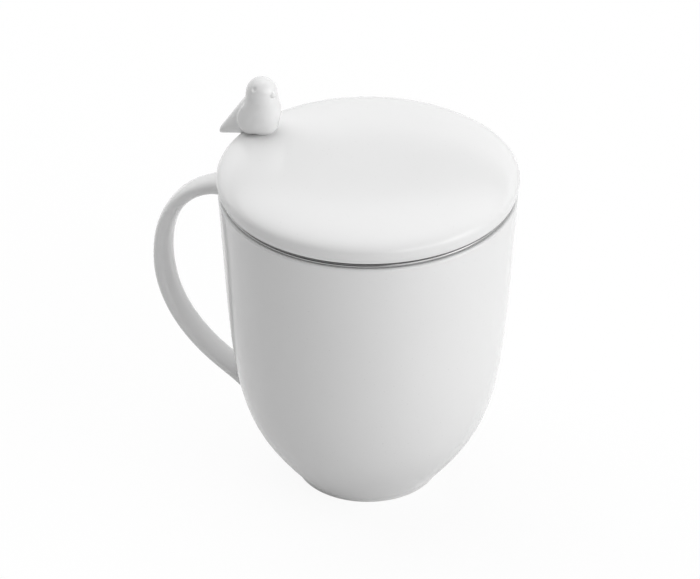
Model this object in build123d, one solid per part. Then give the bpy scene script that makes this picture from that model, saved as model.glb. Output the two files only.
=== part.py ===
"""Lidded tea mug: a porcelain cup and handle, a steel infuser, and a lift-off lid with a bird for a knob.

The origin is the middle of the foot, on the table. Z is up and the handle points along -X.
"""

import os
from math import cos, radians, sin, sqrt, tan

from build123d import *

# Cup
mug_height = 97.3
rim_radius = 44.5
wall_thickness = 3.4
wall_lean = 3.4
shoulder_height = 74.0
foot_radius = 22.3
foot_height = 1.9
foot_step = 0.6
foot_ring_width = 3.2
foot_recess = 1.4
floor_thickness = 4.4
floor_fillet = 7.0
belly_lean = 39.4
belly_low_pull = 24.9
belly_high_pull = 46.8
lip_round = 0.8
foot_edge_round = 0.5

# Handle: how far the middle of the strap stands out past the rim, and how far it lies below the lip
handle_width = 8.8
handle_top_thickness = 3.8
handle_bow_thickness = 5.8
handle_end_thickness = 4.0
handle_root_out, handle_root_drop = -5.0, 4.2
handle_shoulder_out, handle_shoulder_drop = 10.8, 9.8
handle_bend_out, handle_bend_drop = 17.6, 18.3
handle_bow_out, handle_bow_drop = 20.6, 30.8
handle_knee_out, handle_knee_drop = 18.1, 47.5
handle_heel_out, handle_heel_drop = 5.0, 65.4
handle_end_out, handle_end_drop = -12.0, 76.2

# Infuser
sheet = 0.5
bead_diameter = 1.1
bead_inset = 0.8
collar_clearance = 0.8
collar_height = 11.0
collar_bend = 1.0
infuser_floor_gap = 22.0
infuser_side_gap = 2.8
lap_length = 2.0
base_edge_height = 3.0
base_edge_round = 0.4
hole_diameter = 2.0
hole_columns = 24
hole_rows = 4
hole_margin = 9.0
base_hole_rings = 3
base_hole_margin = 4.5

# Lid
lid_overhang = 0.43
lid_edge_height = 3.6
lid_edge_tuck = 0.7
lid_edge_pull = 3.0
lid_rise = 6.4
lid_crown_pull = 40.0
lid_land = 0.3
lid_relief = 0.5
lid_thickness = 5.0
lid_room_round = 2.5
skirt_thickness = 3.0
skirt_depth = 6.7
skirt_edge_round = 1.0

# Bird: heights above its seat on the lid, and reach ahead of and behind the seat
bird_turn = 13.9
bird_seat_inset = 6.9
bird_seat_drop = 1.3
bird_sink = 3.0
bird_body_radius = 5.95
bird_body_height = 14.2
bird_body_forward = 0.7
bird_breast_height = 6.6
bird_foot_radius = 5.3
bird_head_radius = 4.75
bird_head_height = 12.4
bird_head_forward = 0.75
bird_neck_round = 1.2
bird_wing_radius = 4.9
bird_wing_side = 0.9
bird_wing_back = 1.2
bird_wing_height = 4.4
bird_tail_start = 2.0
bird_tail_root_low = -2.4
bird_tail_root_high = 13.8
bird_tail_root_width = 8.4
bird_tail_reach = 13.95
bird_tail_tip_low = -6.0
bird_tail_tip_high = -3.7
bird_tail_tip_width = 2.5
bird_tail_tip_round = 0.7
bird_beak_length = 0.8
bird_beak_radius = 1.0
bird_beak_tip_radius = 0.25
bird_beak_rise = 0.3
bird_beak_bury = 0.6
bird_eye_radius = 0.8
bird_eye_rise = 2.6
bird_eye_shift = 0.35

# Clearances between pieces
seat_gap = 0.1
lap_gap = 0.06
skirt_clearance = 0.6


def at(radius, height):
    """Point of an outline: distance from the axis, and height."""
    return Vector(radius, height)


def turned(*edges):
    """Solid of revolution about Z from a closed outline."""
    outline = make_face(Curve() + list(edges))
    return revolve(Plane.XZ * outline, axis=Axis.Z)


def belly(inset):
    """Tangent polygon of the wall's curve from foot to shoulder, moved inward by inset."""
    low = radians(belly_lean)
    high = radians(wall_lean)
    shorter = 4 / 3 * tan((low - high) / 4) * inset
    foot_r = foot_radius + foot_step - inset * cos(low)
    foot_z = foot_height + inset * sin(low)
    top_r = rim_radius - (mug_height - shoulder_height) * tan(high) - inset * cos(high)
    top_z = shoulder_height + inset * sin(high)
    low_pull = belly_low_pull - shorter
    high_pull = belly_high_pull - shorter
    return (
        at(foot_r, foot_z),
        at(foot_r + low_pull * sin(low), foot_z + low_pull * cos(low)),
        at(top_r - high_pull * sin(high), top_z - high_pull * cos(high)),
        at(top_r, top_z),
    )


def wall_at(height, inset):
    """Radius of the straight upper wall."""
    lean = radians(wall_lean)
    return rim_radius - (mug_height - height) * tan(lean) - inset / cos(lean)


def wall_inside(height):
    """Inner radius of the cup at any height above its floor."""
    curve = belly(wall_thickness)
    if height > curve[3].Y:
        return wall_at(height, wall_thickness)
    wall = Bezier(*curve)
    low, high = 0.0, 1.0
    for _ in range(30):
        middle = (low + high) / 2
        if (wall @ middle).Y < height:
            low = middle
        else:
            high = middle
    return (wall @ low).X


def mug_outside():
    """The cup's outer shape as a full solid."""
    curve = belly(0)
    rim = at(rim_radius, mug_height)
    return turned(
        Line(at(0, 0), at(foot_radius, 0)),
        Line(at(foot_radius, 0), curve[0]),
        Bezier(*curve),
        Line(curve[3], rim),
        Line(rim, at(0, mug_height)),
        Line(at(0, mug_height), at(0, 0)),
    )


def mug_inside():
    """The room inside the cup."""
    curve = belly(wall_thickness)
    rim = at(wall_at(mug_height, wall_thickness), mug_height)
    room = turned(
        Line(at(0, curve[0].Y), curve[0]),
        Bezier(*curve),
        Line(curve[3], rim),
        Line(rim, at(0, mug_height)),
        Line(at(0, mug_height), at(0, curve[0].Y)),
    )
    floor = foot_recess + floor_thickness
    room = split(room, bisect_by=Plane.XY.offset(floor), keep=Keep.TOP)
    corner = room.edges().group_by(Axis.Z)[0]
    return fillet(corner, floor_fillet)


def make_mug_body():
    body = mug_outside() - mug_inside()
    lip = body.edges().group_by(Axis.Z)[-1]
    body = fillet(lip, lip_round)
    well = Pos(0, 0, foot_recess / 2) * Cylinder(foot_radius - foot_ring_width, foot_recess)
    body = body - well
    ring = body.edges().group_by(Axis.Z)[0]
    return fillet(ring, foot_edge_round)


def handle_line():
    """Middle line of the strap from the upper root to the lower one."""
    knots = (
        (handle_root_out, handle_root_drop),
        (handle_shoulder_out, handle_shoulder_drop),
        (handle_bend_out, handle_bend_drop),
        (handle_bow_out, handle_bow_drop),
        (handle_knee_out, handle_knee_drop),
        (handle_heel_out, handle_heel_drop),
        (handle_end_out, handle_end_drop),
    )
    return Spline(*[at(-rim_radius - out, mug_height - drop) for out, drop in knots])


def make_mug_handle():
    """Strap with round sides, thickest at its bow, cut off where it meets the cup."""
    line = Plane.XZ * handle_line()
    thicknesses = (handle_top_thickness, handle_bow_thickness, handle_end_thickness)
    sections = []
    for step, thickness in enumerate(thicknesses):
        share = step / (len(thicknesses) - 1)
        plane = Plane(origin=line @ share, x_dir=(0, 1, 0), z_dir=line % share)
        sections.append(plane * SlotOverall(handle_width, thickness))
    strap = sweep(sections, path=line, multisection=True)
    return strap - mug_outside()


# Levels and radii that follow from the sizes above
flange_bottom = mug_height + seat_gap
bead_radius = rim_radius - bead_inset - bead_diameter / 2
collar_radius = wall_at(mug_height - collar_height, wall_thickness) - collar_clearance
lid_seat = flange_bottom + bead_diameter + seat_gap
lid_radius = rim_radius + lid_overhang
lid_crown = lid_seat + lid_edge_height + lid_rise
skirt_radius = collar_radius - sheet - skirt_clearance
sleeve_top = flange_bottom - collar_height + lap_length
sleeve_radius = collar_radius - sheet - lap_gap
base_bottom = foot_recess + floor_thickness + infuser_floor_gap
sleeve_bottom = base_bottom + sheet + lap_gap
sleeve_end_radius = wall_inside(base_bottom) - infuser_side_gap - sheet - lap_gap


def make_infuser_rim():
    top = flange_bottom + sheet
    bottom = flange_bottom - collar_height
    inside = collar_radius - sheet
    bend = collar_bend + sheet
    shape = turned(
        Line(at(collar_radius, bottom), at(inside, bottom)),
        Line(at(inside, bottom), at(inside, top - bend)),
        RadiusArc(at(inside, top - bend), at(inside + bend, top), bend),
        Line(at(inside + bend, top), at(bead_radius, top)),
        Line(at(bead_radius, top), at(bead_radius, flange_bottom)),
        Line(at(bead_radius, flange_bottom), at(collar_radius + collar_bend, flange_bottom)),
        RadiusArc(
            at(collar_radius + collar_bend, flange_bottom),
            at(collar_radius, flange_bottom - collar_bend),
            -collar_bend,
        ),
        Line(at(collar_radius, flange_bottom - collar_bend), at(collar_radius, bottom)),
    )
    bead = Pos(0, 0, flange_bottom + bead_diameter / 2) * Torus(bead_radius, bead_diameter / 2)
    return shape + bead


def sleeve_outer(height):
    """Outer radius of the tapered sleeve below its lap."""
    start = sleeve_top - lap_length
    share = (start - height) / (start - sleeve_bottom)
    return sleeve_radius + (sleeve_end_radius - sleeve_radius) * share


def make_infuser_wall():
    bend = sleeve_top - lap_length
    outside = (at(sleeve_end_radius, sleeve_bottom), at(sleeve_radius, bend), at(sleeve_radius, sleeve_top))
    inside = [point - Vector(sheet, 0) for point in outside]
    sleeve = turned(Polyline(*outside, *reversed(inside), close=True))
    low = sleeve_bottom + hole_margin
    pitch = (bend - hole_margin - low) / (hole_rows - 1)
    drill = Rot(0, 90, 0) * Cylinder(hole_diameter / 2, 4 * hole_diameter)
    holes = []
    for row in range(hole_rows):
        height = low + row * pitch
        stagger = row % 2 * 180 / hole_columns
        ring = PolarLocations(sleeve_outer(height), hole_columns, start_angle=stagger)
        holes += [Pos(0, 0, height) * place * drill for place in ring]
    return sleeve - holes


def make_infuser_base():
    top = base_bottom + base_edge_height
    floor = base_bottom + sheet
    low = sleeve_outer(base_bottom) + lap_gap
    middle = sleeve_outer(floor) + lap_gap
    high = sleeve_outer(top) + lap_gap
    cup = turned(
        Line(at(0, base_bottom), at(low + sheet, base_bottom)),
        Line(at(low + sheet, base_bottom), at(high + sheet, top)),
        Line(at(high + sheet, top), at(high, top)),
        Line(at(high, top), at(middle, floor)),
        Line(at(middle, floor), at(0, floor)),
        Line(at(0, floor), at(0, base_bottom)),
    )
    corner = cup.edges().group_by(Axis.Z)[0]
    cup = fillet(corner, base_edge_round)
    pitch = (low - base_hole_margin) / base_hole_rings
    drill = Pos(0, 0, base_bottom) * Cylinder(hole_diameter / 2, 4 * sheet)
    holes = [drill]
    for ring in range(1, base_hole_rings + 1):
        holes += [place * drill for place in PolarLocations(ring * pitch, 6 * ring)]
    return cup - holes


def lid_outside():
    """The lid's outer shape as a full solid down to its seat."""
    widest = lid_seat + lid_edge_height
    land = at(bead_radius + lid_land, lid_seat)
    low = at(lid_radius - lid_edge_tuck, lid_seat + lid_relief)
    return turned(
        Line(at(0, lid_seat), land),
        Line(land, low),
        Bezier(low, at(lid_radius, low.Y + lid_edge_height * 0.25), at(lid_radius, widest)),
        Bezier(
            at(lid_radius, widest),
            at(lid_radius, widest + lid_edge_pull),
            at(lid_crown_pull, lid_crown),
            at(0, lid_crown),
        ),
        Line(at(0, lid_crown), at(0, lid_seat)),
    )


def make_lid_shell():
    shell = lid_outside()
    skirt_bottom = lid_seat - skirt_depth
    ceiling = lid_crown - lid_thickness
    skirt = Pos(0, 0, (skirt_bottom + lid_seat) / 2) * Cylinder(skirt_radius, skirt_depth)
    shell = shell + skirt
    room_height = ceiling - skirt_bottom
    room = Pos(0, 0, skirt_bottom + room_height / 2) * Cylinder(skirt_radius - skirt_thickness, room_height)
    room = fillet(room.edges().group_by(Axis.Z)[-1], lid_room_round)
    shell = shell - room
    skirt_edges = shell.edges().group_by(Axis.Z)[0]
    return fillet(skirt_edges, skirt_edge_round)


def bird_body():
    """Full-breasted body that reaches down into the lid."""
    foot = at(bird_foot_radius, -bird_sink)
    top = at(0, bird_body_height)
    shape = turned(
        Line(at(0, -bird_sink), foot),
        Spline(foot, at(bird_body_radius, bird_breast_height), top, tangents=[Vector(0, 1), Vector(-1, 0)]),
        Line(top, at(0, -bird_sink)),
    )
    return Pos(bird_body_forward, 0, 0) * shape


def bird_tail():
    """Tall wedge behind the body, narrowing past the edge of the lid to a blunt tip."""
    stations = (
        (bird_tail_start, bird_tail_root_low, bird_tail_root_high, bird_tail_root_width),
        (bird_tail_reach, bird_tail_tip_low, bird_tail_tip_high, bird_tail_tip_width),
    )
    sections = []
    for reach, low, high, width in stations:
        plane = Plane(origin=(-reach, 0, (low + high) / 2), x_dir=(0, 1, 0), z_dir=(-1, 0, 0))
        sections.append(plane * Ellipse(width / 2, (high - low) / 2))
    tail = loft(sections)
    tip = tail.faces().sort_by(Axis.X)[0]
    return fillet(tip.edges(), bird_tail_tip_round)


def make_lid_bird():
    """The bird stands at the origin and looks along +X, then is set on the lid facing its middle."""
    head = Pos(bird_head_forward, 0, bird_head_height) * Sphere(bird_head_radius)
    bird = bird_body() + head
    neck = bird.edges().filter_by_position(Axis.Z, bird_breast_height, bird_body_height)
    bird = fillet(neck, bird_neck_round)
    bird = bird + bird_tail()
    for side in (bird_wing_side, -bird_wing_side):
        bird = bird + Pos(-bird_wing_back, side, bird_wing_height) * Sphere(bird_wing_radius)
    face = sqrt(bird_head_radius**2 - bird_beak_rise**2) - bird_beak_bury
    length = bird_beak_length + bird_beak_bury
    beak = Rot(0, 90, 0) * Cone(
        bird_beak_radius, bird_beak_tip_radius, length, align=(Align.CENTER, Align.CENTER, Align.MIN)
    )
    bird = bird + Pos(bird_head_forward + face, 0, bird_head_height + bird_beak_rise) * beak
    eye_side = sqrt(bird_head_radius**2 - bird_eye_rise**2) + bird_eye_shift
    for side in (eye_side, -eye_side):
        eye = Pos(bird_head_forward, side, bird_head_height + bird_eye_rise) * Sphere(bird_eye_radius)
        bird = bird - eye
    seat = bird_seat_inset - lid_radius
    bird = Rot(0, 0, -bird_turn) * Pos(seat, 0, lid_crown - bird_seat_drop) * bird
    return bird - lid_outside()


pieces = {
    "mug_body": make_mug_body(),
    "mug_handle": make_mug_handle(),
    "infuser_rim": make_infuser_rim(),
    "infuser_wall": make_infuser_wall(),
    "infuser_base": make_infuser_base(),
    "lid_shell": make_lid_shell(),
    "lid_bird": make_lid_bird(),
}

os.makedirs("parts", exist_ok=True)
for name, shape in pieces.items():
    export_step(shape, f"parts/{name}.step")
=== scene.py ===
"""Dresses the lidded tea mug: glazed porcelain, a perforated infuser, a bird knob and the photo's stage.

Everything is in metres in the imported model's own frame: foot on the table, Z up, handle along -X.
"""

import math

import bmesh
import bpy
import numpy
from bpy.props import FloatProperty, FloatVectorProperty, IntProperty, PointerProperty
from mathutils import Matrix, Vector


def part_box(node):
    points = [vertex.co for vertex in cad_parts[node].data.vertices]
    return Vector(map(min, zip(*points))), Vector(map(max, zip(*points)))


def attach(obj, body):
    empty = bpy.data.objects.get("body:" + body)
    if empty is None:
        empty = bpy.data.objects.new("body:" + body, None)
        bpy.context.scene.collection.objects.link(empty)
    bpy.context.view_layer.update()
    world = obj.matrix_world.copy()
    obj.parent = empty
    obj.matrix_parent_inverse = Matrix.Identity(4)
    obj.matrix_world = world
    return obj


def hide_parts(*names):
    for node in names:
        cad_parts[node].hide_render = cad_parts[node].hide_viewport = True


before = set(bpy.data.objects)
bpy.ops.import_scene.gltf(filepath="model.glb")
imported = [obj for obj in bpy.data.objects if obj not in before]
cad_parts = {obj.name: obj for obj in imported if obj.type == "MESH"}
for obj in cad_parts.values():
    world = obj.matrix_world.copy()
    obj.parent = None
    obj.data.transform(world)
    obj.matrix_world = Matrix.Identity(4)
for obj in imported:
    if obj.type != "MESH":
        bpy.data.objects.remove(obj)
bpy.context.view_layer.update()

bl_info = {
    "name": "Lidded Tea Mug",
    "version": (1, 0, 0),
    "blender": (4, 5, 0),
    "location": "View3D > Sidebar > Tea Mug",
    "description": "Builds a porcelain tea mug with an infuser and a lid with a bird knob",
    "category": "Add Mesh",
}

MM = 0.001
# Points closer than these are one: of neighbouring cells, of a turned outline, and of a finished piece
CELL_WELD = 0.005 * MM
TURN_WELD = 0.004 * MM
SEAM_WELD = 0.002 * MM
MUG_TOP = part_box("mug_body")[1].z
RIM_LOW, RIM_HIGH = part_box("infuser_rim")
BASE_LOW, BASE_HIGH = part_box("infuser_base")
SLEEVE_LOW, SLEEVE_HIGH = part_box("infuser_wall")
LID_LOW, LID_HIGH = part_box("lid_shell")


def length(label, about, millimetres):
    """A length that the user can change, given in millimetres."""
    return FloatProperty(name=label, description=about, default=millimetres * MM, unit="LENGTH", precision=5)


def angle(label, about, degrees):
    """An angle that the user can change, given in degrees."""
    return FloatProperty(name=label, description=about, default=math.radians(degrees), subtype="ANGLE")


def share(label, about, value):
    """A plain number from 0 to 1."""
    return FloatProperty(name=label, description=about, default=value, min=0.0, max=1.0, subtype="FACTOR")


def number(label, about, value, unit="NONE"):
    """A plain number, or one with a unit of its own."""
    return FloatProperty(name=label, description=about, default=value, unit=unit)


def count(label, about, value, least):
    """A whole number with a lower limit."""
    return IntProperty(name=label, description=about, default=value, min=least)


def colour(label, about, value):
    """A colour in linear red, green and blue."""
    return FloatVectorProperty(name=label, description=about, default=value, size=3, subtype="COLOR")


class MugSizes(bpy.types.PropertyGroup):
    """Sizes of the cup."""

    rim_radius: length("Rim radius", "Outside of the wall at the top of the lip", 44.5)
    wall: length("Wall", "Thickness of the wall", 3.4)
    wall_lean: angle("Wall lean", "Lean of the straight upper wall", 3.4)
    shoulder: length("Shoulder", "Height where the straight wall turns into the belly", 74.0)
    foot_radius: length("Foot radius", "Outside of the foot ring", 21.7)
    foot_height: length("Foot height", "Height of the foot ring", 1.9)
    foot_step: length("Foot step", "How much wider the belly starts than the foot", 0.9)
    foot_ring: length("Foot ring", "Width of the ring that rests on the table", 3.2)
    lip_round: length("Lip round", "Radius of the lip's edges", 0.8)
    recess: length("Recess", "Depth of the hollow inside the foot ring", 1.4)
    floor: length("Floor", "Thickness of the bottom", 4.4)
    belly_lean: angle("Belly lean", "Lean of the belly where it leaves the foot", 39.4)
    belly_low_pull: length("Lower pull", "How far the foot's direction carries into the belly", 24.9)
    belly_high_pull: length("Upper pull", "How far the wall's direction carries into the belly", 46.8)


class HandleSizes(bpy.types.PropertyGroup):
    """Sizes of the strap handle."""

    width: length("Width", "Width of the strap", 9.1)
    thickness_top: length("Top thickness", "Thickness of the strap at its upper root", 4.0)
    thickness_bow: length("Bow thickness", "Thickness of the strap at half its length", 5.5)
    thickness_end: length("End thickness", "Thickness of the strap at its lower root", 3.9)
    flare: length("Flare", "How much the strap swells where it is luted to the cup", 1.6)
    flare_reach: length("Flare reach", "Distance over which the swelling fades", 2.4)


class LidSizes(bpy.types.PropertyGroup):
    """Sizes of the lid."""

    overhang: length("Overhang", "How far the lid stands out past the rim", 0.43)
    seat_tuck: length("Tuck", "How far the lower edge draws in under the lid's widest line", 0.7)
    edge: length("Edge", "Height of the widest line above the seat", 3.6)
    edge_pull: length("Edge pull", "How far the upright edge carries into the dome", 3.0)
    crown_pull: length("Crown pull", "How far the level crown carries into the dome", 40.0)
    land: length("Land", "Where the seat ends, outward from the middle of the bead", -0.1)
    relief: length("Relief", "How far the lower edge stands clear of the infuser's bead", 0.6)
    thickness: length("Thickness", "Thickness under the crown", 5.0)
    skirt: length("Skirt", "Thickness of the locating skirt", 3.0)


class InfuserSizes(bpy.types.PropertyGroup):
    """Sizes of the infuser."""

    sheet: length("Sheet", "Thickness of the steel sheet", 0.5)
    bead: length("Bead", "Diameter of the rolled bead", 1.1)
    bend: length("Bend", "Inner radius of the flange's bend", 1.0)
    columns: count("Columns", "Holes round the sleeve", 92, 12)
    rows: count("Rows", "Rows of cells down the sleeve", 24, 6)
    plain_rows: count("Plain rows", "Rows without holes at each end", 2, 1)
    hole: share("Hole", "Diameter of a hole as a share of its cell", 0.52)
    pitch: length("Pitch", "Distance between the rings of holes in the base", 2.6)


class BirdSizes(bpy.types.PropertyGroup):
    """Sizes of the bird, measured from its seat on the lid."""

    turn: angle("Turn", "How far round the lid the bird stands from the handle", 13.9)
    seat_inset: length("Seat inset", "Distance of the seat from the lid's edge", 6.95)
    seat_drop: length("Seat drop", "Distance of the seat below the lid's crown", 1.3)
    voxel: length("Grain", "Size of the cells that the bird is shaped in", 0.16)


class Finish(bpy.types.PropertyGroup):
    """Colours and gloss."""

    glaze: colour("Glaze", "Colour of the glazed porcelain", (0.83, 0.83, 0.83))
    biscuit: colour("Biscuit", "Colour of the bare porcelain on the foot ring", (0.72, 0.71, 0.69))
    gloss: share("Gloss", "Roughness of the glaze", 0.16)
    steel: colour("Steel", "Colour of the infuser", (0.45, 0.45, 0.45))
    steel_roughness: share("Steel roughness", "Roughness of the brushed steel", 0.18)


class StageValues(bpy.types.PropertyGroup):
    """Camera and light."""

    view_turn: angle("View turn", "Turn of the camera round the mug", 18.1)
    view_rise: angle("View rise", "Height of the camera above the horizon", 32.29)
    distance: length("Distance", "Distance of the camera", 1400.0)
    aim_side: length("Aim side", "Where the camera looks, to the right of the axis", -5.35)
    aim_height: length("Aim height", "Where the camera looks, above the table", 62.72)
    lens: number("Lens", "Focal length on a 36 mm frame", 239.9, "CAMERA")
    front_power: number("Front", "Power of the softbox near the camera", 10.7, "POWER")
    side_power: number("Side", "Power of the softbox at the right", 16.4, "POWER")
    high_power: number("High", "Power of the high panel behind", 26.0, "POWER")
    ambient: number("Ambient", "Strength of the light from all round", 0.205)
    softbox: number("Softbox", "Brightness of a softbox, as the glaze shows it", 1.8)
    room: number("Room", "Brightness of the dim room, as the glaze shows it", 0.14)


class Socket:
    """An output of a node that takes part in Python arithmetic."""

    def __init__(self, graph, socket):
        self.graph = graph
        self.socket = socket

    def __add__(self, other):
        return self.graph.math("ADD", self, other)

    __radd__ = __add__

    def __sub__(self, other):
        return self.graph.math("SUBTRACT", self, other)

    def __rsub__(self, other):
        return self.graph.math("SUBTRACT", other, self)

    def __mul__(self, other):
        return self.graph.math("MULTIPLY", self, other)

    __rmul__ = __mul__

    def __truediv__(self, other):
        return self.graph.math("DIVIDE", self, other)

    def __neg__(self):
        return self.graph.math("MULTIPLY", self, -1.0)

    def __abs__(self):
        return self.graph.math("ABSOLUTE", self)


class Graph:
    """A node tree that is written as expressions."""

    def __init__(self, tree):
        self.tree = tree
        tree.nodes.clear()

    def node(self, kind, inputs=None, **settings):
        """One node: its settings are set first, then the values or links of its sockets."""
        made = self.tree.nodes.new(kind)
        for key, value in settings.items():
            setattr(made, key, value)
        for key, value in (inputs or {}).items():
            if isinstance(value, Socket):
                self.tree.links.new(value.socket, made.inputs[key])
            else:
                made.inputs[key].default_value = value
        return made

    def out(self, kind, inputs=None, output=0, **settings):
        """One output of a new node."""
        return Socket(self, self.node(kind, inputs, **settings).outputs[output])

    def math(self, operation, *values):
        return self.out("ShaderNodeMath", dict(enumerate(values)), operation=operation)

    def vector(self, operation, *values, output="Vector"):
        return self.out("ShaderNodeVectorMath", dict(enumerate(values)), output, operation=operation)

    def parts(self, vector):
        """The three components of a vector."""
        split = self.node("ShaderNodeSeparateXYZ", {0: vector})
        return [Socket(self, out) for out in split.outputs]

    def join(self, x, y, z):
        return self.out("ShaderNodeCombineXYZ", {"X": x, "Y": y, "Z": z})

    def shape_of(self, source):
        """The geometry of an object."""
        return self.out("GeometryNodeObjectInfo", {"Object": source}, "Geometry")

    def place(self):
        """Where each point is."""
        return self.out("GeometryNodeInputPosition")

    def row_and_column(self, columns):
        """Row and column of each point, in rows of so many columns."""
        index = self.out("GeometryNodeInputIndex")
        row = self.math("FLOOR", (index + 0.5) / columns)
        return row, index - row * columns

    def moved(self, geometry, spot):
        """The geometry with its points set at a spot of their own."""
        return self.out("GeometryNodeSetPosition", {"Geometry": geometry, "Position": spot})

    def points(self, total, spot):
        """So many points, each at a spot of its own."""
        line = self.out("GeometryNodeMeshLine", {"Count": total, "Offset": (0.0, 0.0, 0.0)}, "Mesh")
        return self.moved(line, spot)

    def wrapped(self, geometry, radius, turn, height, weld):
        """The geometry with its points set round Z, and welded where they meet."""
        spot = self.join(radius * self.math("COSINE", turn), radius * self.math("SINE", turn), height)
        around = self.moved(geometry, spot)
        return self.out("GeometryNodeMergeByDistance", {"Geometry": around, "Distance": weld})


def geometry_graph(name, **inputs):
    """A geometry node tree with inputs of these types and names and a material: its graph and its inputs."""
    tree = bpy.data.node_groups.new(name, "GeometryNodeTree")
    tree.interface.new_socket("Geometry", in_out="INPUT", socket_type="NodeSocketGeometry")
    for kind, labels in {**inputs, "Material": ("Material",)}.items():
        for label in labels:
            tree.interface.new_socket(label, in_out="INPUT", socket_type="NodeSocket" + kind)
    tree.interface.new_socket("Geometry", in_out="OUTPUT", socket_type="NodeSocketGeometry")
    graph = Graph(tree)
    group = graph.node("NodeGroupInput")
    return graph, {out.name: Socket(graph, out) for out in group.outputs if out.name}


def end_tree(graph, geometry, material):
    """Realizes, shades and colours the result of a geometry tree."""
    plain = graph.out("GeometryNodeRealizeInstances", {"Geometry": geometry})
    smooth = graph.out("GeometryNodeSetShadeSmooth", {"Geometry": plain})
    coloured = graph.out("GeometryNodeSetMaterial", {"Geometry": smooth, "Material": material})
    graph.node("NodeGroupOutput", {0: coloured})
    return graph.tree


def lathe_tree():
    """Turns an outline about Z: a grid whose rows are the outline's points and whose columns go round."""
    graph, given = geometry_graph("turned outline", Object=("Outline",), Int=("Segments",))
    outline = graph.shape_of(given["Outline"])
    points = graph.out("GeometryNodeCurveToPoints", {"Curve": outline}, "Points", mode="EVALUATED")
    size = graph.node("GeometryNodeAttributeDomainSize", {"Geometry": points}, component="POINTCLOUD")
    rings = Socket(graph, size.outputs["Point Count"])
    columns = given["Segments"] + 1
    grid = graph.out("GeometryNodeMeshGrid", {"Vertices X": rings, "Vertices Y": columns}, "Mesh")
    row, column = graph.row_and_column(columns)
    sample = graph.out(
        "GeometryNodeSampleIndex",
        {"Geometry": points, "Value": graph.place(), "Index": row},
        data_type="FLOAT_VECTOR",
        domain="POINT",
    )
    radius, _, height = graph.parts(sample)
    turn = column / given["Segments"] * math.tau
    turned = graph.wrapped(grid, radius, turn, height, TURN_WELD)
    return end_tree(graph, turned, given["Material"])


def added(name, data):
    """A new object in the scene."""
    made = bpy.data.objects.new(name, data)
    bpy.context.collection.objects.link(made)
    return made


def mesh_of(name, verts, faces):
    """A mesh of these points and faces."""
    mesh = bpy.data.meshes.new(name)
    mesh.from_pydata(verts, [], faces)
    return mesh


class Outline:
    """An outline in the half plane of a lathe, drawn with straight runs and curves."""

    def __init__(self, radius, height):
        self.knots = [Vector((radius, 0, height))]
        self.runs = []

    @property
    def here(self):
        return self.knots[-1]

    def line(self, radius, height):
        self.knots.append(Vector((radius, 0, height)))
        self.runs.append(None)

    def curve(self, leave, arrive, end):
        """A cubic curve through two pulling points."""
        pulls = [Vector((radius, 0, height)) for radius, height in (leave, arrive)]
        self.knots.append(Vector((end[0], 0, end[1])))
        self.runs.append(pulls)

    def turn(self, corner, end):
        """A rounded corner that starts here, aims at the corner and ends along the next side."""
        near = 0.5523  # share that makes a square corner round
        start = (self.here.x, self.here.z)
        leave = [a + (b - a) * near for a, b in zip(start, corner)]
        arrive = [a + (b - a) * near for a, b in zip(end, corner)]
        self.curve(leave, arrive, end)

    def draw(self, name):
        """The outline as a curve object."""
        data = bpy.data.curves.new(name, "CURVE")
        data.dimensions = "3D"
        spline = data.splines.new("BEZIER")
        spline.resolution_u = 14
        spline.bezier_points.add(len(self.knots) - 1)
        for knot, place in zip(spline.bezier_points, self.knots):
            knot.co = place
            knot.handle_left_type = "FREE"
            knot.handle_right_type = "FREE"
            knot.handle_left = place
            knot.handle_right = place
        for first, second, pulls in zip(spline.bezier_points, spline.bezier_points[1:], self.runs):
            if pulls is None:
                first.handle_right_type = "VECTOR"
                second.handle_left_type = "VECTOR"
            else:
                first.handle_right = pulls[0]
                second.handle_left = pulls[1]
        return added(name, data)


def node_made(name, tree, inputs):
    """A plain mesh object made by a geometry tree whose inputs are given by name."""
    host = added(name, bpy.data.meshes.new(name))
    modifier = host.modifiers.new("make", "NODES")
    modifier.node_group = tree
    for item in tree.interface.items_tree:
        if item.in_out == "INPUT" and item.name in inputs:
            modifier[item.identifier] = inputs[item.name]
    depsgraph = bpy.context.evaluated_depsgraph_get()
    mesh = bpy.data.meshes.new_from_object(host.evaluated_get(depsgraph), depsgraph=depsgraph)
    host.modifiers.clear()
    host.data = mesh
    if not mesh.polygons:
        raise RuntimeError(f"{name} came out empty")
    return host


def face_outward(piece, crease=None, thin_wall=False):
    """Closes seams and a thin wall's ends, turns faces outward and keeps edges past crease degrees crisp."""
    work = bmesh.new()
    work.from_mesh(piece.data)
    bmesh.ops.remove_doubles(work, verts=work.verts, dist=SEAM_WELD)
    if thin_wall:
        close_ends(work)
    bmesh.ops.recalc_face_normals(work, faces=work.faces)
    work.to_mesh(piece.data)
    work.free()
    piece.data.shade_smooth()
    if crease:
        piece.data.set_sharp_from_angle(angle=math.radians(crease))
    return piece


def close_ends(work):
    """Closes the open ends of a thin wall, above and below."""
    middle = sum(vert.co.z for vert in work.verts) / len(work.verts)
    open_edges = [edge for edge in work.edges if edge.is_boundary]
    for high in (True, False):
        end = [edge for edge in open_edges if (edge.verts[0].co.z > middle) == high]
        if end:
            bmesh.ops.bridge_loops(work, edges=end)


def turned_piece(name, outline, material, segments=224, crease=None):
    """A lathe piece from an outline."""
    drawn = outline.draw(name + "_outline")
    bpy.context.view_layer.update()
    tree = bpy.data.node_groups.get("turned outline") or lathe_tree()
    piece = node_made(name, tree, {"Outline": drawn, "Segments": segments, "Material": material})
    data = drawn.data
    bpy.data.objects.remove(drawn)
    bpy.data.curves.remove(data)
    return face_outward(piece, crease)


def settle(piece, body, slot, *nodes):
    """The piece rides on a body and stands for CAD nodes."""
    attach(piece, body)
    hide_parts(*nodes)


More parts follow.
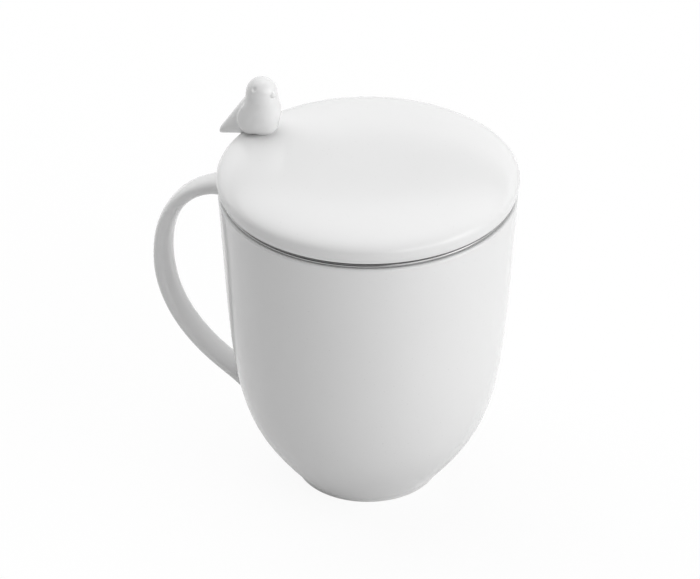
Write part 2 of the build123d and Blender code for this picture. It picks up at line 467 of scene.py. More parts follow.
def blank_material(name):
    """A material with an empty node tree, and its graph."""
    material = bpy.data.materials.new(name)
    material.use_nodes = True
    return material, Graph(material.node_tree)


def new_material(name):
    """A material with one principled shader, its graph and that shader."""
    material, graph = blank_material(name)
    shader = graph.node("ShaderNodeBsdfPrincipled")
    graph.node("ShaderNodeOutputMaterial", {"Surface": Socket(graph, shader.outputs[0])})
    return material, graph, shader


def noise(graph, place, scale, detail=3.0, roughness=0.5):
    """Cloudy noise from 0 to 1."""
    inputs = {"Vector": place, "Scale": scale, "Detail": detail, "Roughness": roughness}
    return graph.out("ShaderNodeTexNoise", inputs, "Fac")


def ramp(graph, value, low, high, to_low=0.0, to_high=1.0):
    """A smooth step between two values."""
    inputs = {"Value": value, "From Min": low, "From Max": high, "To Min": to_low, "To Max": to_high}
    return graph.out("ShaderNodeMapRange", inputs, interpolation_type="SMOOTHSTEP")


def mix_colour(graph, factor, first, second):
    """A mix of two colours, by the factor."""
    mixed = graph.node("ShaderNodeMix", {"Factor": factor}, data_type="RGBA")
    for slot, value in ((6, first), (7, second)):
        if isinstance(value, Socket):
            graph.tree.links.new(value.socket, mixed.inputs[slot])
        else:
            mixed.inputs[slot].default_value = (*value, 1.0)
    return Socket(graph, mixed.outputs[2])


def dress(graph, shader, base, roughness, **bump):
    """Gives the shader a colour, a roughness and a bump."""
    normal = graph.out("ShaderNodeBump", bump)
    for socket, value in (("Base Color", base), ("Roughness", roughness), ("Normal", normal)):
        graph.tree.links.new(value.socket, shader.inputs[socket])


def porcelain(finish, bare_below=None):
    """Glazed white porcelain with a faint unevenness in tone and gloss, slow waves and a few pin specks.

    Below a given height the surface is bare biscuit, as on a wiped foot ring.
    """
    name = "glazed_porcelain" if bare_below is None else "glazed_porcelain_bare_foot"
    existing = bpy.data.materials.get(name)
    if existing:
        return existing
    material, graph, shader = new_material(name)
    place = graph.out("ShaderNodeTexCoord", output="Object")
    cloud = noise(graph, place, 38.0, 4.0)
    grain = noise(graph, place, 900.0, 2.0)
    speck = ramp(graph, noise(graph, place, 1700.0, 0.0), 0.80, 0.86)
    tone = tuple(finish.glaze)
    shade = tuple(part * 0.965 for part in tone)
    base = mix_colour(graph, cloud, shade, tone)
    base = mix_colour(graph, speck * 0.16, base, (0.42, 0.42, 0.42))
    gloss = finish.gloss + (cloud - 0.5) * 0.05 + (grain - 0.5) * 0.03
    bump_height = cloud * 0.8 + grain * 0.02
    if bare_below is not None:
        _, _, height = graph.parts(place)
        ragged = height + (noise(graph, place, 420.0) - 0.5) * (0.5 * MM)
        bare = ramp(graph, ragged, bare_below + 0.12 * MM, bare_below - 0.12 * MM)
        base = mix_colour(graph, bare, base, tuple(finish.biscuit))
        gloss = gloss + bare * 0.5
        bump_height = bump_height + bare * grain * 0.2
    dress(graph, shader, base, gloss, Strength=0.05, Distance=0.6 * MM, Height=bump_height)
    shader.inputs["IOR"].default_value = 1.5
    shader.inputs["Coat Weight"].default_value = 0.25
    shader.inputs["Coat Roughness"].default_value = 0.08
    return material


def brushed_steel(finish):
    """Stainless sheet, brushed round the axis, with faint water marks."""
    material, graph, shader = new_material("brushed_stainless")
    place = graph.out("ShaderNodeTexCoord", output="Object")
    x, y, height = graph.parts(place)
    around = graph.math("ARCTAN2", y, x)
    streak_place = graph.join(around * 1.5, height * 2600.0, 0.0)
    streak = noise(graph, streak_place, 1.0, 3.0)
    marks = noise(graph, place, 120.0, 4.0)
    dark, light = (tuple(part * level for part in finish.steel) for level in (0.86, 1.08))
    base = mix_colour(graph, streak, dark, light)
    rough = finish.steel_roughness + (streak - 0.5) * 0.12 + (marks - 0.5) * 0.08
    dress(graph, shader, base, rough, Strength=0.08, Distance=0.05 * MM, Height=streak)
    shader.inputs["Metallic"].default_value = 1.0
    return material


def belly(sizes, inset):
    """Knots of the wall's curve from foot to shoulder, moved inward by inset: start, two pulls, end."""
    low, high = sizes.belly_lean, sizes.wall_lean
    shorter = 4 / 3 * math.tan((low - high) / 4) * inset
    foot_r = sizes.foot_radius + sizes.foot_step - inset * math.cos(low)
    foot_z = sizes.foot_height + inset * math.sin(low)
    top_r = sizes.rim_radius - (MUG_TOP - sizes.shoulder) * math.tan(high) - inset * math.cos(high)
    top_z = sizes.shoulder + inset * math.sin(high)
    low_pull = sizes.belly_low_pull - shorter
    high_pull = sizes.belly_high_pull - shorter
    return (
        (foot_r, foot_z),
        (foot_r + low_pull * math.sin(low), foot_z + low_pull * math.cos(low)),
        (top_r - high_pull * math.sin(high), top_z - high_pull * math.cos(high)),
        (top_r, top_z),
    )


def curve_point(knots, first, second, third):
    """A cubic curve's point at a share of it that is given three times, or a pull between two shares."""
    row = knots
    for t in (first, second, third):
        row = [[(1 - t) * a + t * b for a, b in zip(one, two)] for one, two in zip(row, row[1:])]
    return row[0]


def curve_from(knots, start):
    """The knots of a cubic curve from a share of it to its end."""
    return [curve_point(knots, *[start] * (3 - ends), *[1.0] * ends) for ends in range(4)]


def outer_radius(sizes, height):
    """Outside of the cup at a height above the foot."""
    if height >= sizes.shoulder:
        return sizes.rim_radius - (MUG_TOP - height) * math.tan(sizes.wall_lean)
    knots = belly(sizes, 0.0)
    low, high = 0.0, 1.0
    for _ in range(40):
        middle = (low + high) / 2
        if curve_point(knots, middle, middle, middle)[1] < height:
            low = middle
        else:
            high = middle
    return curve_point(knots, low, low, low)[0]


class MUG_OT_body(bpy.types.Operator):
    """Turn the cup and leave its foot ring bare"""

    bl_idname = "tea_mug.body"
    bl_label = "Cup"

    # Shares of the wall's curve that the foot's step and the round inner bottom take up
    step_share = 0.012
    bottom_share = 0.17
    # Where the round inner bottom aims and ends, inward from the wall
    bottom_aim = 3.6 * MM
    bottom_end = 9.5 * MM
    # Rounding of the foot ring, the lean of its side, and the inner corner of the step
    soft = 0.5 * MM
    foot_lean = 0.1 * MM
    step_in = 0.15 * MM
    step_down = 0.25 * MM
    # Height of the line where the glaze ends
    glaze_line = 0.45 * MM

    def execute(self, context):
        sizes = context.scene.mug_sizes
        outside = belly(sizes, 0.0)
        inside = belly(sizes, sizes.wall)
        floor = sizes.recess + sizes.floor
        lean = math.tan(sizes.wall_lean)
        lip = sizes.lip_round
        soft = self.soft
        ring_in = sizes.foot_radius - sizes.foot_ring
        rim_out = sizes.rim_radius
        rim_in = sizes.rim_radius - sizes.wall / math.cos(sizes.wall_lean)
        lift = 1.0 / math.hypot(1.0, lean)
        outline = Outline(0.0, sizes.recess)
        outline.line(ring_in - 2 * soft, sizes.recess)
        outline.turn((ring_in - soft, sizes.recess), (ring_in, sizes.recess / 2))
        outline.turn((ring_in, 0.0), (ring_in + soft, 0.0))
        outline.line(sizes.foot_radius - soft, 0.0)
        outline.turn((sizes.foot_radius, 0.0), (sizes.foot_radius + self.foot_lean, soft))
        outline.line(outside[0][0] - self.step_in, outside[0][1] - self.step_down)
        first, *rest = curve_from(outside, self.step_share)
        outline.turn(outside[0], first)
        outline.curve(*rest)
        outline.line(rim_out - lip * lean, MUG_TOP - lip)
        outline.turn((rim_out, MUG_TOP), (rim_out - lip, MUG_TOP))
        outline.line(rim_in + lip, MUG_TOP)
        outline.turn((rim_in, MUG_TOP), (rim_in - lip * lean, MUG_TOP - lip * lift))
        outline.line(*inside[3])
        last, *rest = curve_from(inside, self.bottom_share)
        outline.curve(rest[1], rest[0], last)
        outline.turn((last[0] - self.bottom_aim, floor), (last[0] - self.bottom_end, floor))
        outline.line(0.0, floor)
        material = porcelain(context.scene.mug_finish, self.glaze_line)
        piece = turned_piece("mug_body_glazed", outline, material)
        settle(piece, "mug", "porcelain", "mug_body")
        return {"FINISHED"}


def smooth_line(points, total):
    """Points along a smooth line through a few given ones, evenly spaced in the line's own measure."""
    points = numpy.array(points)
    steps = numpy.linalg.norm(numpy.diff(points, axis=0), axis=1)
    knots = numpy.concatenate(([0.0], numpy.cumsum(steps)))
    size = len(points)
    system = numpy.eye(size)
    right = numpy.zeros_like(points)
    for i in range(1, size - 1):
        before, after = steps[i - 1], steps[i]
        system[i, i - 1 : i + 2] = before, 2 * (before + after), after
        right[i] = 6 * ((points[i + 1] - points[i]) / after - (points[i] - points[i - 1]) / before)
    bends = numpy.linalg.solve(system, right)
    at = numpy.linspace(0.0, knots[-1], total)
    run = numpy.clip(numpy.searchsorted(knots, at, side="right") - 1, 0, size - 2)
    width = steps[run][:, None]
    b = (at - knots[run])[:, None] / width
    a = 1 - b
    curved = ((a**3 - a) * bends[run] + (b**3 - b) * bends[run + 1]) * width**2 / 6
    return a * points[run] + b * points[run + 1] + curved


class MUG_OT_handle(bpy.types.Operator):
    """Sweep the strap handle and swell its roots where they are luted on"""

    bl_idname = "tea_mug.handle"
    bl_label = "Handle"

    # Middle of the strap: distance past the rim and distance below the lip, in millimetres
    line = ((-5.0, 4.2), (10.8, 9.8), (17.6, 18.3), (20.6, 30.8), (18.1, 47.5), (5.0, 65.4), (-12.0, 76.2))
    rings = 150
    sides = 48
    squareness = 2.4
    bury = 2.0 * MM

    def execute(self, context):
        cup = context.scene.mug_sizes
        sizes = context.scene.mug_handle
        knots = [(cup.rim_radius + out * MM, MUG_TOP - drop * MM) for out, drop in self.line]
        middle = smooth_line(knots, self.rings)
        along = numpy.gradient(middle, axis=0)
        along /= numpy.linalg.norm(along, axis=1)[:, None]
        shares = numpy.linspace(0.0, 1.0, self.rings)
        stations = (sizes.thickness_top, sizes.thickness_bow, sizes.thickness_end)
        thickness = numpy.interp(shares, (0.0, 0.5, 1.0), stations)
        verts = []
        for (reach, height), (tx, tz), thick in zip(middle, along, thickness):
            clear = max(reach - outer_radius(cup, height), 0.0)
            swell = sizes.flare * math.exp(-clear / sizes.flare_reach)
            for side in range(self.sides):
                turn = math.tau * side / self.sides
                up = self.softened(math.cos(turn)) * (thick / 2 + swell)
                across = self.softened(math.sin(turn)) * (sizes.width / 2 + swell)
                verts.append(self.held(cup, -(reach + tz * up), across, height - tx * up))
        faces = []
        for ring in range(self.rings - 1):
            for side in range(self.sides):
                here, then = ring * self.sides + side, ring * self.sides + (side + 1) % self.sides
                faces.append((here, then, then + self.sides, here + self.sides))
        faces.append(tuple(range(self.sides)))
        faces.append(tuple(range((self.rings - 1) * self.sides, self.rings * self.sides)))
        mesh = mesh_of("mug_handle_strap", verts, faces)
        mesh.materials.append(porcelain(context.scene.mug_finish))
        piece = face_outward(added("mug_handle_strap", mesh))
        settle(piece, "mug", "porcelain", "mug_handle")
        return {"FINISHED"}

    def softened(self, part):
        """One component of the strap's section, a little fuller than an ellipse."""
        return math.copysign(abs(part) ** (2 / self.squareness), part)

    def held(self, cup, x, y, z):
        """A point, kept from going deeper into the wall than the strap is buried."""
        deepest = outer_radius(cup, z) - self.bury
        reach = math.hypot(x, y)
        if reach >= deepest:
            return (x, y, z)
        return (x * deepest / reach, y * deepest / reach, z)


class MUG_OT_lid(bpy.types.Operator):
    """Turn the lid with its low dome, seat and locating skirt"""

    bl_idname = "tea_mug.lid"
    bl_label = "Lid"

    # Clearance of the seat over the bead, and of the skirt in the sleeve's top
    seat_gap = 0.1 * MM
    skirt_gap = 0.54 * MM
    # Roundings of the skirt, of the corner under the crown and of the lower edge, and the lower edge's lean
    soft = 1.0 * MM
    corner = 2.5 * MM
    sharp = 0.25 * MM
    edge_lean = 0.1 * MM

    def execute(self, context):
        sizes = context.scene.mug_lid
        infuser = context.scene.mug_infuser
        radius = context.scene.mug_sizes.rim_radius + sizes.overhang
        seat = RIM_HIGH.z + self.seat_gap
        widest = seat + sizes.edge
        brow = seat + sizes.relief
        drop = widest - brow
        crown = LID_HIGH.z
        ceiling = crown - sizes.thickness
        bottom = LID_LOW.z
        skirt_out = SLEEVE_HIGH.x - self.skirt_gap
        skirt_in = skirt_out - sizes.skirt
        low = radius - sizes.seat_tuck
        soft, corner, sharp = self.soft, self.corner, self.sharp
        outline = Outline(0.0, crown)
        outline.curve((sizes.crown_pull, crown), (radius, widest + sizes.edge_pull), (radius, widest))
        leave = (radius, widest - drop / 2)
        arrive = (low + sizes.seat_tuck / 2, brow + drop / 4)
        outline.curve(leave, arrive, (low + self.edge_lean, brow + sharp))
        outline.turn((low, brow), (low - sharp, brow))
        outline.line(RIM_HIGH.x - infuser.bead / 2 + sizes.land, seat)
        outline.line(skirt_out + soft, seat)
        outline.turn((skirt_out, seat), (skirt_out, seat - soft))
        outline.line(skirt_out, bottom + soft)
        outline.turn((skirt_out, bottom), (skirt_out - soft, bottom))
        outline.line(skirt_in + soft, bottom)
        outline.turn((skirt_in, bottom), (skirt_in, bottom + soft))
        outline.line(skirt_in, ceiling - corner)
        outline.turn((skirt_in, ceiling), (skirt_in - corner, ceiling))
        outline.line(0.0, ceiling)
        piece = turned_piece("lid_shell_glazed", outline, porcelain(context.scene.mug_finish))
        settle(piece, "lid", "porcelain", "lid_shell")
        return {"FINISHED"}


def cell(name, hole):
    """One cell of perforated sheet, a unit wide and long, its outer face at 0 and its inner face at -1."""
    half = 0.5
    border = [(-half, -half), (0, -half), (half, -half), (half, 0)]
    border += [(-x, -y) for x, y in border]
    sides = len(border)
    verts = [(x, y, depth) for depth in (0.0, -1.0) for x, y in border]
    faces = []
    if hole:
        for depth in (0.0, -1.0):
            for step in range(sides):
                turn = math.tau * (step - 3) / sides
                verts.append((hole / 2 * math.cos(turn), hole / 2 * math.sin(turn), depth))
        for step in range(sides):
            then = (step + 1) % sides
            top, bottom, top_hole, bottom_hole = (base * sides for base in range(4))
            faces.append((top + step, top + then, top_hole + then, top_hole + step))
            faces.append((bottom + then, bottom + step, bottom_hole + step, bottom_hole + then))
            faces.append((top_hole + step, top_hole + then, bottom_hole + then, bottom_hole + step))
    else:
        faces.append(tuple(range(sides)))
        faces.append(tuple(reversed(range(sides, 2 * sides))))
    return added(name, mesh_of(name, verts, faces))


def placed_cells(graph, points, source, chosen):
    """A cell on each chosen point."""
    inputs = {"Points": points, "Instance": graph.shape_of(source), "Selection": chosen}
    return graph.out("GeometryNodeInstanceOnPoints", inputs)


def sleeve_tree():
    """Perforated sleeve: cells laid out flat in staggered rows, then wrapped round a cone."""
    graph, given = geometry_graph(
        "perforated sleeve",
        Object=("Pierced", "Plain"),
        Int=("Columns", "Rows", "Plain rows"),
        Float=("Bottom radius", "Top radius", "Bottom", "Top", "Sheet"),
    )
    columns, rows = given["Columns"], given["Rows"]
    row, column = graph.row_and_column(columns)
    stagger = graph.math("MODULO", row, 2.0) * 0.5
    points = graph.points(columns * (rows + 1), graph.join(column + stagger, row + 0.5, 0.0))
    low_band = graph.math("LESS_THAN", row, given["Plain rows"])
    high_band = graph.math("GREATER_THAN", row, rows - given["Plain rows"] - 0.5)
    band = graph.math("MAXIMUM", low_band, high_band)
    joined = graph.node("GeometryNodeJoinGeometry")
    for source, test in (("Pierced", "LESS_THAN"), ("Plain", "GREATER_THAN")):
        cells = placed_cells(graph, points, given[source], graph.math(test, band, 0.5))
        graph.tree.links.new(cells.socket, joined.inputs[0])
    flat = graph.out("GeometryNodeRealizeInstances", {"Geometry": Socket(graph, joined.outputs[0])})
    u, v, depth = graph.parts(graph.place())
    up = v / rows
    widening = given["Top radius"] - given["Bottom radius"]
    radius = given["Bottom radius"] + widening * graph.math("MINIMUM", up, 1.0) + depth * given["Sheet"]
    height = given["Bottom"] + (given["Top"] - given["Bottom"]) * up
    sleeve = graph.wrapped(flat, radius, u / columns * math.tau, height, CELL_WELD)
    return end_tree(graph, sleeve, given["Material"])


def strainer_tree():
    """Perforated disc: six more cells in each ring than in the one inside it."""
    graph, given = geometry_graph(
        "perforated disc", Object=("Pierced",), Int=("Rings",), Float=("Pitch", "Bottom", "Sheet")
    )
    most = given["Rings"] * 6
    row, column = graph.row_and_column(most)
    ring = row + 1
    points = graph.points(most * given["Rings"], graph.join(column, ring, 0.0))
    cells = placed_cells(graph, points, given["Pierced"], graph.math("LESS_THAN", column, ring * 6 - 0.5))
    tagged = graph.out(
        "GeometryNodeStoreNamedAttribute",
        {"Geometry": cells, "Name": "ring", "Value": graph.parts(graph.place())[1]},
        data_type="FLOAT",
        domain="INSTANCE",
    )
    flat = graph.out("GeometryNodeRealizeInstances", {"Geometry": tagged})
    u, v, depth = graph.parts(graph.place())
    own_ring = graph.out("GeometryNodeInputNamedAttribute", {"Name": "ring"}, data_type="FLOAT")
    turn = u / (own_ring * 6) * math.tau
    height = given["Bottom"] - depth * given["Sheet"]
    disc = graph.wrapped(flat, v * given["Pitch"], turn, height, CELL_WELD)
    cleaned = graph.out("GeometryNodeRemoveAttribute", {"Geometry": disc, "Name": "ring"})
    return end_tree(graph, cleaned, given["Material"])


class MUG_OT_infuser(bpy.types.Operator):
    """Form the infuser: rolled rim, perforated sleeve and perforated base"""

    bl_idname = "tea_mug.infuser"
    bl_label = "Infuser"

    # Gaps where the sleeve laps into the collar and into the top of the base's edge
    collar_gap = 0.06 * MM
    base_gap = 0.46 * MM
    # How far the bead's inner side runs out onto the flange, and the least width of the base's plain edge
    tuck = 0.15 * MM
    plain_edge = 1.4 * MM
    # How much narrower the base is at its foot, the foot's rounding and the side's lean over that
    draft = 0.4 * MM
    soft = 0.4 * MM
    lean = 0.05 * MM
    # Edges that stay crisp: holes and sheet edges, in degrees
    hole_crease = 40.0
    sheet_crease = 50.0

    def execute(self, context):
        sizes = context.scene.mug_infuser
        steel = brushed_steel(context.scene.mug_finish)
        self.rim(sizes, steel)
        pierced, plain = cell("pierced_cell", sizes.hole), cell("plain_cell", 0.0)
        self.sleeve(sizes, steel, pierced, plain)
        self.base(sizes, steel, pierced)
        for made in (pierced, plain):
            data = made.data
            bpy.data.objects.remove(made)
            bpy.data.meshes.remove(data)
        return {"FINISHED"}

    def rim(self, sizes, steel):
        """Collar, flange and rolled bead from one sheet."""
        outside = SLEEVE_HIGH.x + self.collar_gap + sizes.sheet
        inside = outside - sizes.sheet
        under = RIM_HIGH.z - sizes.bead
        top = under + sizes.sheet
        half = sizes.bead / 2
        bead_r, bead_z = RIM_HIGH.x - half, RIM_HIGH.z - half
        bend, wide = sizes.bend, sizes.bend + sizes.sheet
        outline = Outline(inside, RIM_LOW.z)
        outline.line(outside, RIM_LOW.z)
        outline.line(outside, under - bend)
        outline.turn((outside, under), (outside + bend, under))
        outline.line(bead_r, under)
        outline.turn((bead_r + half, under), (bead_r + half, bead_z))
        outline.turn((bead_r + half, bead_z + half), (bead_r, bead_z + half))
        outline.turn((bead_r - half, bead_z + half), (bead_r - half, bead_z))
        outline.turn((bead_r - half, top), (bead_r - half - self.tuck, top))
        outline.line(inside + wide, top)
        outline.turn((inside, top), (inside, top - wide))
        outline.line(inside, RIM_LOW.z)
        piece = turned_piece("infuser_rim_rolled", outline, steel, crease=self.sheet_crease)
        settle(piece, "infuser", "stainless", "infuser_rim")

    def sleeve(self, sizes, steel, pierced, plain):
        """Perforated wall between two plain bands."""
        inputs = {
            "Pierced": pierced,
            "Plain": plain,
            "Columns": sizes.columns,
            "Rows": sizes.rows,
            "Plain rows": sizes.plain_rows,
            "Bottom radius": BASE_HIGH.x - sizes.sheet - self.base_gap,
            "Top radius": SLEEVE_HIGH.x,
            "Bottom": SLEEVE_LOW.z,
            "Top": SLEEVE_HIGH.z - (SLEEVE_HIGH.z - SLEEVE_LOW.z) / (sizes.rows + 1),
            "Sheet": sizes.sheet,
            "Material": steel,
        }
        piece = node_made("infuser_wall_perforated", sleeve_tree(), inputs)
        face_outward(piece, self.hole_crease, thin_wall=True)
        settle(piece, "infuser", "stainless", "infuser_wall")

    def base(self, sizes, steel, pierced):
        """Perforated disc inside a pressed edge."""
        rings = int((BASE_HIGH.x - self.plain_edge) / sizes.pitch - 0.5)
        inputs = {
            "Pierced": pierced,
            "Rings": rings,
            "Pitch": sizes.pitch,
            "Bottom": BASE_LOW.z,
            "Sheet": sizes.sheet,
            "Material": steel,
        }
        disc = node_made("infuser_base_strainer", strainer_tree(), inputs)
        face_outward(disc, self.hole_crease, thin_wall=True)
        settle(disc, "infuser", "stainless", "infuser_base")
        inner = (rings + 0.5) * sizes.pitch
        floor = BASE_LOW.z + sizes.sheet
        outer = BASE_HIGH.x
        foot = outer - self.draft
        outline = Outline(inner, BASE_LOW.z)
        outline.line(foot - self.soft, BASE_LOW.z)
        outline.turn((foot, BASE_LOW.z), (foot + self.lean, BASE_LOW.z + self.soft))
        outline.line(outer, BASE_HIGH.z)
        outline.line(outer - sizes.sheet, BASE_HIGH.z)
        outline.line(foot - sizes.sheet, floor)
        outline.line(inner, floor)
        outline.line(inner, BASE_LOW.z)
        edge = turned_piece("infuser_base_edge", outline, steel, 160, self.sheet_crease)
        settle(edge, "infuser", "stainless", "infuser_base")


class Shape:
    """Distance fields in millimetres from the bird's seat, X ahead, Y to its left, Z up."""

    # The tail's top, bottom and half width at the seat, and how much each falls in a millimetre backward
    tail_top = (16.8, 1.465)
    tail_bottom = (-1.8, 0.3)
    tail_half_width = (4.7, 0.245)
    # Where the tail starts and ends, backward, and the rounding of those ends
    tail_start = 1.0
    tail_end = 13.95
    tail_round = 1.0

    def __init__(self, graph, sizes):
        self.graph = graph
        seat = Vector((sizes.seat_inset - LID_HIGH.x, 0.0, LID_HIGH.z - sizes.seat_drop)) / MM
        place = graph.vector("MULTIPLY", graph.place(), (1 / MM,) * 3)
        self.place = graph.vector("SUBTRACT", self.rotated(place, sizes.turn, "Z_AXIS"), tuple(seat))

    def rotated(self, place, turn, axis):
        inputs = {"Vector": place, "Angle": turn}
        return self.graph.out("ShaderNodeVectorRotate", inputs, rotation_type=axis)

    def egg(self, centre, radii, pitch=0.0):
        """Distance to an ellipsoid, tipped forward by pitch degrees."""
        graph = self.graph
        local = graph.vector("SUBTRACT", self.place, centre)
        if pitch:
            local = self.rotated(local, -math.radians(pitch), "Y_AXIS")
        first, second = (
            graph.vector("LENGTH", graph.vector("DIVIDE", local, scale), output="Value")
            for scale in (radii, [radius * radius for radius in radii])
        )
        return first * (first - 1) / second

    def blend(self, first, second, width):
        return self.graph.math("SMOOTH_MIN", first, second, width)

    def carve(self, shape, hollow, width):
        return self.graph.math("SMOOTH_MAX", shape, -hollow, width)

    def tail(self):
        """Tall wedge that runs down past the lid's edge to a narrow tip."""
        graph = self.graph
        x, y, z = graph.parts(self.place)
        back = -x
        falls = (self.tail_top, self.tail_bottom, self.tail_half_width)
        top, bottom, half_width = (size - back * fall for size, fall in falls)
        half_height = (top - bottom) / 2
        rise = (z - (top + bottom) / 2) / half_height
        side = y / half_width
        across = graph.math("SQRT", rise * rise + side * side)
        wedge = (across - 1) * graph.math("MINIMUM", half_width, half_height)
        ends = graph.math("MAXIMUM", back - self.tail_end, self.tail_start - back)
        return graph.math("SMOOTH_MAX", wedge, ends, self.tail_round)


class MUG_OT_bird(bpy.types.Operator):
    """Shape the bird as one soft form and set it on the lid"""

    bl_idname = "tea_mug.bird"
    bl_label = "Bird"

    # The head looks a little to its right, and the eyes sit at either side of where it looks
    look = math.radians(-12.4)
    eye_turn = math.radians(81.7)
    head = (0.75, 0.0, 12.4)

    def execute(self, context):
        sizes = context.scene.mug_bird
        low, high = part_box("lid_bird")
        margin = Vector((1.0, 1.0, 1.0)) * MM
        low, high = low - margin, high + margin
        inputs = {"Low": low, "High": high, "Material": porcelain(context.scene.mug_finish)}
        for axis, span in zip("XYZ", high - low):
            inputs["Cells " + axis] = int(span / sizes.voxel)
        piece = face_outward(node_made("lid_bird_glazed", self.tree(sizes), inputs))
        settle(piece, "lid", "porcelain", "lid_bird")
        return {"FINISHED"}

    def tree(self, sizes):
        """The bird as the surface of a distance field."""
        counts = ("Cells X", "Cells Y", "Cells Z")
        graph, given = geometry_graph("soft bird", Vector=("Low", "High"), Int=counts)
        inside = 1 - self.form(Shape(graph, sizes))
        inputs = {"Density": inside, "Background": 0.0, "Min": given["Low"], "Max": given["High"]}
        for axis in "XYZ":
            inputs["Resolution " + axis] = given["Cells " + axis]
        cube = {"Volume": graph.out("GeometryNodeVolumeCube", inputs), "Threshold": 1.0}
        skin = graph.out("GeometryNodeVolumeToMesh", cube, resolution_mode="GRID")
        return end_tree(graph, skin, given["Material"])

    def form(self, shape):
        """Body, foot, tail, wings, head and beak, with dents for the eyes."""
        body = shape.egg((0.8, 0.0, 6.6), (5.85, 5.45, 7.6))
        body = shape.blend(body, shape.egg((0.8, 0.0, 1.5), (4.8, 4.2, 3.3)), 1.8)
        body = shape.blend(body, shape.tail(), 0.8)
        for side in (1, -1):
            wing = shape.egg((-1.3, 3.7 * side, 4.2), (4.2, 2.0, 5.2), 24.0)
            body = shape.blend(body, wing, 1.0)
        bird = shape.blend(body, shape.egg(self.head, (4.75, 4.65, 4.75)), 1.7)
        beak = shape.egg(self.on_head(0.0, 4.1, 0.8), (1.45, 1.1, 0.85), 14.0)
        bird = shape.blend(bird, beak, 0.3)
        for turn in (self.eye_turn, -self.eye_turn):
            eye = shape.egg(self.on_head(turn, 4.21, 2.85), (0.8, 0.8, 0.8))
            bird = shape.carve(bird, eye, 0.6)
        return bird

    def on_head(self, turn, reach, rise):
        """A place round the head's upright axis, turned left from where it looks, above its middle."""
        x, y, z = self.head
        heading = self.look + turn
        return (x + reach * math.cos(heading), y + reach * math.sin(heading), z + rise)


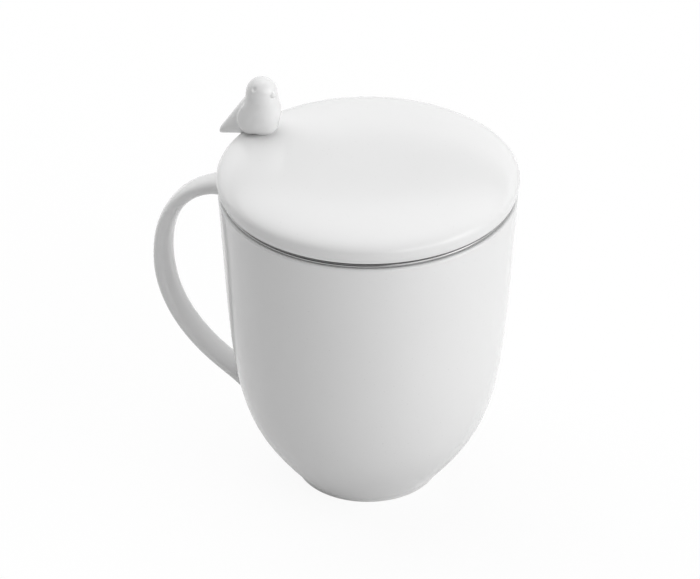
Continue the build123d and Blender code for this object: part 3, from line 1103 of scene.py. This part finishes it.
class MUG_OT_stage(bpy.types.Operator):
    """Set the floor, the soft light and the camera of the photograph"""

    bl_idname = "tea_mug.stage"
    bl_label = "Stage"

    # Each lamp's turn to the right of the camera and rise in degrees, and its width in metres
    lamps = {"front": (30.0, 15.0, 2.0), "side": (70.0, 20.0, 2.0), "high": (-150.0, 60.0, 2.4)}
    lamp_distance = 1.6
    # Turn and rise of the softboxes that the glaze shows, and how far from their middles they fade
    panes = ((32.0, 26.0), (70.0, 20.0))
    pane_core = math.cos(math.radians(10.0))
    pane_edge = math.cos(math.radians(22.0))
    # Half the floor's width, and where its shadow starts and ends to fade, in metres
    floor_half = 4.0
    fade = (0.2, 0.8)
    # How much of the floor is plain white to the camera near the mug, and to the glaze
    floor_white = 0.92
    floor_glow = 0.25

    def execute(self, context):
        stage = context.scene.mug_stage
        right = Vector((math.cos(stage.view_turn), math.sin(stage.view_turn), 0.0))
        away = Vector((-math.sin(stage.view_turn), math.cos(stage.view_turn), 0.0))
        up = Vector((0.0, 0.0, 1.0))
        toward = -away * math.cos(stage.view_rise) + up * math.sin(stage.view_rise)
        aim = right * stage.aim_side + up * stage.aim_height
        camera = added("camera", bpy.data.cameras.new("camera"))
        camera.data.lens = stage.lens
        camera.data.sensor_width = 36.0
        camera.data.sensor_fit = "HORIZONTAL"
        camera.data.clip_end = 20.0
        camera.location = aim + toward * stage.distance
        camera.rotation_euler = (-toward).to_track_quat("-Z", "Y").to_euler()
        context.scene.camera = camera

        for name, (turn, rise, width) in self.lamps.items():
            self.lamp(stage, name, self.direction(stage, turn, rise), width)
        context.scene.world = self.white_room(stage, right, away)

        half = self.floor_half
        corners = [(-half, -half, 0), (half, -half, 0), (half, half, 0), (-half, half, 0)]
        plane = mesh_of("floor", corners, [(0, 1, 2, 3)])
        plane.materials.append(self.floor_material())
        floor = added("floor", plane)
        context.scene.view_settings.view_transform = "Standard"
        return {"FINISHED"}

    def direction(self, stage, turn, rise):
        """From the mug to a place turned to the right of the camera and raised, in degrees."""
        level = stage.view_turn + math.radians(turn - 90.0)
        rise = math.radians(rise)
        flat = math.cos(rise)
        return Vector((math.cos(level) * flat, math.sin(level) * flat, math.sin(rise)))

    def lamp(self, stage, name, toward, width):
        """A round soft lamp that faces the mug."""
        light = bpy.data.lights.new(name + " lamp", "AREA")
        light.shape = "DISK"
        light.size = width
        light.energy = getattr(stage, name + "_power")
        lamp = added(light.name, light)
        lamp.location = Vector((0.0, 0.0, stage.aim_height)) + toward * self.lamp_distance
        lamp.rotation_euler = (-toward).to_track_quat("-Z", "Y").to_euler()
        lamp.visible_camera = False
        lamp.visible_glossy = False

    def white_room(self, stage, right, away):
        """White behind the mug and overhead with a dim strip between, white at the right, and dim elsewhere.

        The glaze and the steel also show the softboxes. For diffuse light it is an even ambient level.
        """
        world = bpy.data.worlds.new("white room")
        world.use_nodes = True
        graph = Graph(world.node_tree)
        sight = graph.out("ShaderNodeTexCoord", output="Generated")
        _, _, height = graph.parts(sight)
        behind = graph.vector("DOT_PRODUCT", sight, tuple(away), output="Value")
        # The lid's level top mirrors the height of the camera's rise, and the dim strip is there
        between = abs(height - math.sin(stage.view_rise))
        sweep = ramp(graph, behind, -0.3, 0.6) * ramp(graph, between, 0.02, 0.12, 0.15, 1.0)
        side = graph.vector("DOT_PRODUCT", sight, tuple(right), output="Value")
        white = graph.math("MAXIMUM", sweep, ramp(graph, side, 0.35, 0.85))
        room = stage.room * ramp(graph, side, -0.7, 0.1, 0.3, 1.0) + white * (1 - stage.room)
        for turn, rise in self.panes:
            toward = tuple(self.direction(stage, turn, rise))
            facing = graph.vector("DOT_PRODUCT", sight, toward, output="Value")
            room = room + ramp(graph, facing, self.pane_edge, self.pane_core, 0.0, stage.softbox)
        camera, glossy = self.rays(graph)
        strength = stage.ambient + glossy * (room - stage.ambient)
        strength = strength + camera * (1 - strength)
        sky = graph.out("ShaderNodeBackground", {"Color": (1, 1, 1, 1), "Strength": strength})
        graph.node("ShaderNodeOutputWorld", {"Surface": sky})
        return world

    def rays(self, graph):
        """1 for camera rays, and 1 for glossy and transmission rays."""
        path = graph.node("ShaderNodeLightPath")
        names = ("Is Camera Ray", "Is Glossy Ray", "Is Transmission Ray")
        camera, glossy, through = (Socket(graph, path.outputs[name]) for name in names)
        return camera, graph.math("MAXIMUM", glossy, through)

    def floor_material(self):
        """White paper that keeps a faint shadow and fades to plain white away from the mug."""
        material, graph = blank_material("white_paper")
        camera, glossy = self.rays(graph)
        seen = graph.math("MAXIMUM", camera, glossy)
        tone = mix_colour(graph, seen, (0.6, 0.6, 0.6), (0.95, 0.95, 0.95))
        paper = graph.out("ShaderNodeBsdfDiffuse", {"Color": tone})
        glow = graph.out("ShaderNodeEmission", {"Color": (1, 1, 1, 1), "Strength": 1.0})
        place = graph.out("ShaderNodeTexCoord", output="Object")
        away = graph.vector("LENGTH", place, output="Value")
        white = camera * ramp(graph, away, *self.fade, self.floor_white, 1.0) + glossy * self.floor_glow
        surface = graph.out("ShaderNodeMixShader", {0: white, 1: paper, 2: glow})
        graph.node("ShaderNodeOutputMaterial", {"Surface": surface})
        return material


class MUG_PT_panel(bpy.types.Panel):
    """Lists the steps that build the mug and the sizes that they use"""

    bl_idname = "MUG_PT_panel"
    bl_label = "Tea Mug"
    bl_space_type = "VIEW_3D"
    bl_region_type = "UI"
    bl_category = "Tea Mug"

    def draw(self, context):
        for step in STEPS:
            self.layout.operator("tea_mug." + step)
        for name in GROUPS:
            group = getattr(context.scene, "mug_" + name)
            box = self.layout.box()
            box.label(text=name.capitalize())
            for key in group.__annotations__:
                box.prop(group, key)


STEPS = ("body", "handle", "infuser", "lid", "bird", "stage")
GROUPS = {
    "sizes": MugSizes,
    "handle": HandleSizes,
    "lid": LidSizes,
    "infuser": InfuserSizes,
    "bird": BirdSizes,
    "finish": Finish,
    "stage": StageValues,
}
CLASSES = (
    *GROUPS.values(),
    MUG_OT_body,
    MUG_OT_handle,
    MUG_OT_infuser,
    MUG_OT_lid,
    MUG_OT_bird,
    MUG_OT_stage,
    MUG_PT_panel,
)


def register():
    for cls in CLASSES:
        bpy.utils.register_class(cls)
    for name, group in GROUPS.items():
        setattr(bpy.types.Scene, "mug_" + name, PointerProperty(type=group))


def unregister():
    for name in GROUPS:
        delattr(bpy.types.Scene, "mug_" + name)
    for cls in reversed(CLASSES):
        bpy.utils.unregister_class(cls)


def main():
    register()
    for step in STEPS:
        getattr(bpy.ops.tea_mug, step)()


if __name__ == "__main__":
    main()
